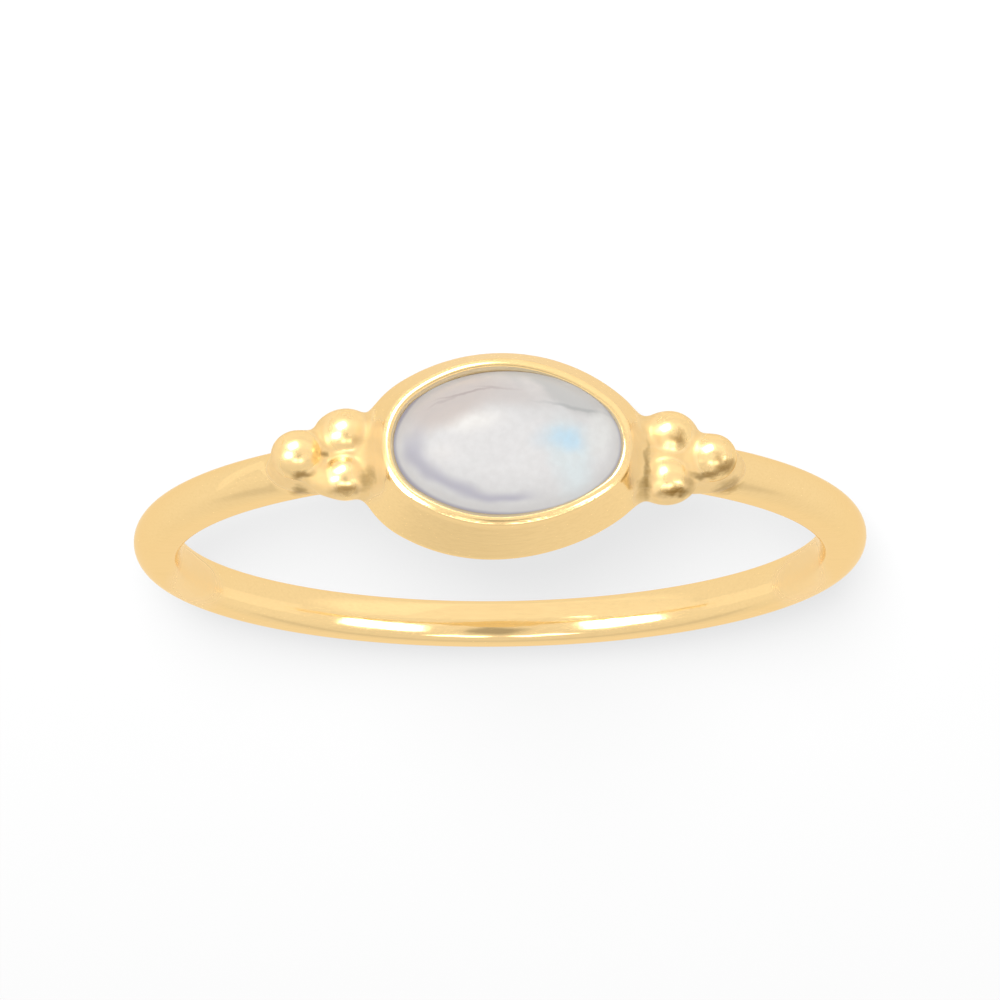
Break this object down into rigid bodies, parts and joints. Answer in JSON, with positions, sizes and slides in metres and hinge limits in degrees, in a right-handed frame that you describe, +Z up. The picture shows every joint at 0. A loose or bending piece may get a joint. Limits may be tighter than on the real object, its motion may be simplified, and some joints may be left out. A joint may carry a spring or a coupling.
{
  "type": "moonstone ring",
  "caption": "Slim gold-coloured finger ring with an oval bezel-set moonstone cabochon and soldered granules beside it, lying on its side.",
  "frame": {"origin": "on the surface that the ring lies on, below the middle of its box", "axes": "+Z up from that surface, nearly along the finger hole; the stone faces -Y and slightly up; +X along the stone's length"},
  "size_m": [0.019, 0.0204, 0.0052],
  "materials": {
    "gold": "polished pale yellow gold plating",
    "moonstone": "polished milky moonstone with a blue sheen"
  },
  "bodies": {
    "root": {"ring_mount": "gold", "moonstone": "moonstone"}
  },
  "joints": []
}
